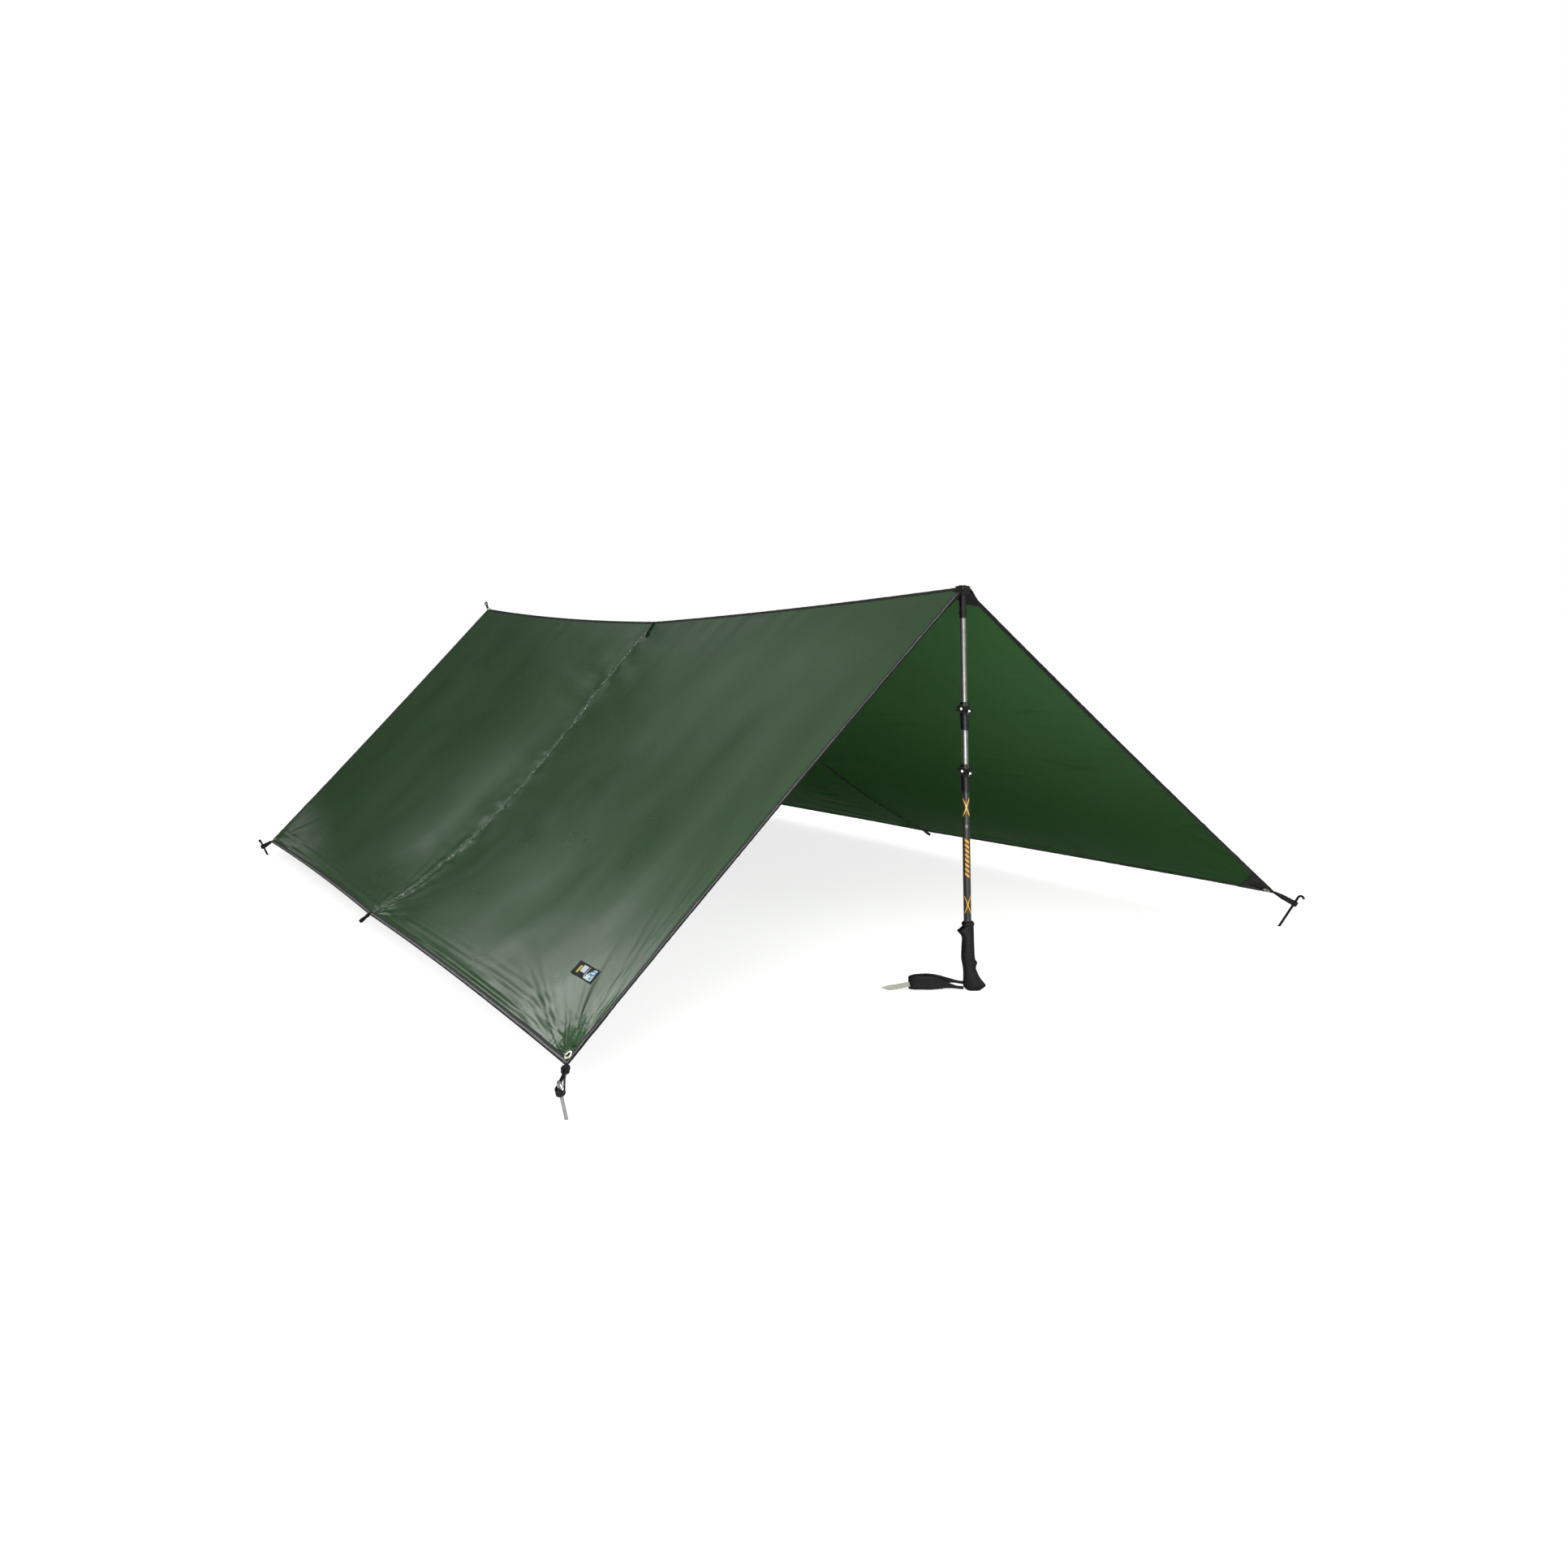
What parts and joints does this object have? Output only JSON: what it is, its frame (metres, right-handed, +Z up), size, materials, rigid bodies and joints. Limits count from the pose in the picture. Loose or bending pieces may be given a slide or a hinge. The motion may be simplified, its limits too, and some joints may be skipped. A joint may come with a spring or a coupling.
{
  "type": "tarp shelter",
  "caption": "Open A-frame tarp shelter on two upturned telescoping trekking poles, pegged at its corners, with eyelets, webbing loops and bound edges.",
  "frame": {"origin": "on the ground under the middle of the ridge, where the cross seam meets it", "axes": "+Z up, +Y from the open front to the rear along the ridge, +X towards the right wing as seen from the front"},
  "size_m": [2.2598, 3.2013, 1.0786],
  "materials": {
    "canopy_cloth": "coated ripstop nylon, satin, olive green",
    "seam_tape": "dark stitched tape",
    "edge_binding": "folded grosgrain binding, dark grey",
    "reinforcement": "black heavy cloth",
    "webbing": "black woven webbing",
    "eyelet_metal": "pressed eyelet, pale metal",
    "label_cloth": "woven label with plain coloured bars",
    "peg_metal": "bare rod",
    "tube_silver": "brushed and anodised",
    "tube_dark": "dark woven-look print with gold marks",
    "clamp_plastic": "moulded black",
    "rivet_steel": "domed heads",
    "grip_foam": "moulded black grip",
    "tip_plastic": "moulded black",
    "tip_steel": "hard tip",
    "strap_cloth": "padded black webbing with a pale grey tail"
  },
  "bodies": {
    "front_pole_upper": {"front_grip": "grip_foam", "front_upper_tube": "tube_dark", "front_upper_clamp": "clamp_plastic", "front_upper_clamp_rivets": "rivet_steel"},
    "front_pole_middle": {"front_middle_tube": "tube_silver", "front_lower_clamp": "clamp_plastic", "front_lower_clamp_rivets": "rivet_steel"},
    "front_pole_lower": {"front_lower_tube": "tube_silver", "front_tip_sleeve": "tip_plastic", "front_tip_spike": "tip_steel"},
    "front_upper_lever": {"front_upper_clamp_lever": "clamp_plastic"},
    "front_lower_lever": {"front_lower_clamp_lever": "clamp_plastic"},
    "front_strap": {"front_wrist_strap": "strap_cloth"},
    "canopy_ridge": {"ridge_tape": "seam_tape", "front_ridge_patch": "reinforcement", "rear_ridge_patch": "reinforcement", "ridge_eyelets": "eyelet_metal", "front_ridge_loop": "webbing", "rear_ridge_loop": "webbing"},
    "left_wing": {"mid_ridge_loop": "webbing", "left_front_panel": "canopy_cloth", "left_rear_panel": "canopy_cloth", "left_cross_seam_tape": "seam_tape", "left_edge_binding": "edge_binding", "front_left_corner_patch": "reinforcement", "rear_left_corner_patch": "reinforcement", "front_left_eyelet": "eyelet_metal", "rear_left_eyelet": "eyelet_metal", "left_mid_hem_loop": "webbing", "woven_label": "label_cloth"},
    "right_wing": {"right_front_panel": "canopy_cloth", "right_rear_panel": "canopy_cloth", "right_cross_seam_tape": "seam_tape", "right_edge_binding": "edge_binding", "front_right_corner_patch": "reinforcement", "rear_right_corner_patch": "reinforcement", "front_right_eyelet": "eyelet_metal", "rear_right_eyelet": "eyelet_metal", "right_mid_hem_loop": "webbing"},
    "rear_pole_lower": {"rear_lower_tube": "tube_silver", "rear_tip_sleeve": "tip_plastic", "rear_tip_spike": "tip_steel"},
    "rear_pole_middle": {"rear_middle_tube": "tube_silver", "rear_lower_clamp": "clamp_plastic", "rear_lower_clamp_rivets": "rivet_steel"},
    "rear_pole_upper": {"rear_grip": "grip_foam", "rear_upper_tube": "tube_dark", "rear_upper_clamp": "clamp_plastic", "rear_upper_clamp_rivets": "rivet_steel"},
    "rear_upper_lever": {"rear_upper_clamp_lever": "clamp_plastic"},
    "rear_lower_lever": {"rear_lower_clamp_lever": "clamp_plastic"},
    "rear_strap": {"rear_wrist_strap": "strap_cloth"},
    "front_left_loop": {"front_left_corner_loop": "webbing"},
    "front_left_peg_body": {"front_left_peg": "peg_metal"},
    "rear_left_loop": {"rear_left_corner_loop": "webbing"},
    "rear_left_peg_body": {"rear_left_peg": "peg_metal"},
    "front_right_loop": {"front_right_corner_loop": "webbing"},
    "front_right_peg_body": {"front_right_peg": "peg_metal"},
    "rear_right_loop": {"rear_right_corner_loop": "webbing"},
    "rear_right_peg_body": {"rear_right_peg": "peg_metal"}
  },
  "joints": [
    {"name": "front_middle_slide", "type": "slide", "parent": "front_pole_upper", "child": "front_pole_middle", "axis": [0.0063, 0.0459, 0.9989], "range_m": [-0.046, 0.0095], "stiffness_N_per_m": 12000},
    {"name": "ridge_height_slide", "type": "slide", "parent": "front_pole_middle", "child": "front_pole_lower", "axis": [0.0063, 0.0459, 0.9989], "range_m": [-0.15, 0.03]},
    {"name": "canopy_lift_slide", "type": "slide", "parent": "front_pole_lower", "child": "canopy_ridge", "axis": [0.0063, 0.0459, 0.9989], "range_m": [0, 0.03]},
    {"name": "left_wing_hinge", "type": "hinge", "parent": "canopy_ridge", "child": "left_wing", "pos_m": [0, -1.466, 0.947], "axis": [0, 0.9999, -0.0113], "range_deg": [-2.1, 10.3]},
    {"name": "right_wing_hinge", "type": "hinge", "parent": "canopy_ridge", "child": "right_wing", "pos_m": [0, -1.466, 0.947], "axis": [0, 0.9999, -0.0113], "range_deg": [-10.3, 2.1]},
    {"name": "rear_tip_slide", "type": "slide", "parent": "canopy_ridge", "child": "rear_pole_lower", "axis": [-0.0063, -0.0459, -0.9989], "range_m": [0, 0.031], "stiffness_N_per_m": 2000},
    {"name": "rear_middle_slide", "type": "slide", "parent": "rear_pole_lower", "child": "rear_pole_middle", "axis": [-0.0063, -0.0459, -0.9989], "range_m": [-0.151, 0.031], "stiffness_N_per_m": 2000},
    {"name": "rear_upper_slide", "type": "slide", "parent": "rear_pole_middle", "child": "rear_pole_upper", "axis": [-0.0063, -0.0459, -0.9989], "range_m": [-0.046, 0.0095], "stiffness_N_per_m": 2000},
    {"name": "front_upper_lever_hinge", "type": "hinge", "parent": "front_pole_upper", "child": "front_upper_lever", "pos_m": [-0.0189, -1.48364, 0.5248], "axis": [-0.5733, -0.8183, 0.0412], "range_deg": [0, 100]},
    {"name": "front_lower_lever_hinge", "type": "hinge", "parent": "front_pole_middle", "child": "front_lower_lever", "pos_m": [-0.01798, -1.47698, 0.66965], "axis": [-0.5733, -0.8183, 0.0412], "range_deg": [0, 100]},
    {"name": "front_wrist_strap_hinge", "type": "hinge", "parent": "front_pole_upper", "child": "front_strap", "pos_m": [-0.02186, -1.49, 0.01757], "axis": [0.5733, 0.8183, -0.0412], "range_deg": [0, 60]},
    {"name": "rear_upper_lever_hinge", "type": "hinge", "parent": "rear_pole_upper", "child": "rear_upper_lever", "pos_m": [-0.01869, 1.43488, 0.5248], "axis": [-0.5733, -0.8183, 0.0412], "range_deg": [0, 100]},
    {"name": "rear_lower_lever_hinge", "type": "hinge", "parent": "rear_pole_middle", "child": "rear_lower_lever", "pos_m": [-0.01777, 1.44153, 0.66965], "axis": [-0.5733, -0.8183, 0.0412], "range_deg": [0, 100]},
    {"name": "rear_wrist_strap_hinge", "type": "hinge", "parent": "rear_pole_upper", "child": "rear_strap", "pos_m": [-0.02165, 1.42851, 0.01757], "axis": [0.5733, 0.8183, -0.0412], "range_deg": [0, 60]},
    {"name": "front_left_loop_hinge", "type": "hinge", "parent": "left_wing", "child": "front_left_loop", "pos_m": [-1.087, -1.598, 0.095], "axis": [0, 0.9999, -0.0113], "range_deg": [-10.3, 2.1]},
    {"name": "front_left_peg_slide", "type": "slide", "parent": "front_left_loop", "child": "front_left_peg_body", "axis": [-0.291, -0.3684, 0.8829], "range_m": [0, 0.16]},
    {"name": "rear_left_loop_hinge", "type": "hinge", "parent": "left_wing", "child": "rear_left_loop", "pos_m": [-0.98, 1.252, 0.05], "axis": [0, 0.9999, -0.0113], "range_deg": [-10.3, 2.1]},
    {"name": "rear_left_peg_slide", "type": "slide", "parent": "rear_left_loop", "child": "rear_left_peg_body", "axis": [-0.291, 0.3684, 0.8829], "range_m": [0, 0.16]},
    {"name": "front_right_loop_hinge", "type": "hinge", "parent": "right_wing", "child": "front_right_loop", "pos_m": [1.087, -1.598, 0.095], "axis": [0, 0.9999, -0.0113], "range_deg": [-2.1, 10.3]},
    {"name": "front_right_peg_slide", "type": "slide", "parent": "front_right_loop", "child": "front_right_peg_body", "axis": [0.291, -0.3684, 0.8829], "range_m": [0, 0.16]},
    {"name": "rear_right_loop_hinge", "type": "hinge", "parent": "right_wing", "child": "rear_right_loop", "pos_m": [0.98, 1.252, 0.05], "axis": [0, 0.9999, -0.0113], "range_deg": [-2.1, 10.3]},
    {"name": "rear_right_peg_slide", "type": "slide", "parent": "rear_right_loop", "child": "rear_right_peg_body", "axis": [0.291, 0.3684, 0.8829], "range_m": [0, 0.16]}
  ],
  "couplings": [
    {"joint": "front_middle_slide", "follows": "ridge_height_slide", "ratio": 0.3},
    {"joint": "rear_middle_slide", "follows": "ridge_height_slide", "ratio": 1},
    {"joint": "rear_upper_slide", "follows": "ridge_height_slide", "ratio": 0.3},
    {"joint": "left_wing_hinge", "follows": "ridge_height_slide", "rad_per_m": -1.18},
    {"joint": "right_wing_hinge", "follows": "ridge_height_slide", "rad_per_m": 1.18},
    {"joint": "rear_tip_slide", "follows": "canopy_lift_slide", "ratio": 1},
    {"joint": "front_left_loop_hinge", "follows": "ridge_height_slide", "rad_per_m": 1.18},
    {"joint": "rear_left_loop_hinge", "follows": "ridge_height_slide", "rad_per_m": 1.18},
    {"joint": "front_right_loop_hinge", "follows": "ridge_height_slide", "rad_per_m": -1.18},
    {"joint": "rear_right_loop_hinge", "follows": "ridge_height_slide", "rad_per_m": -1.18}
  ]
}
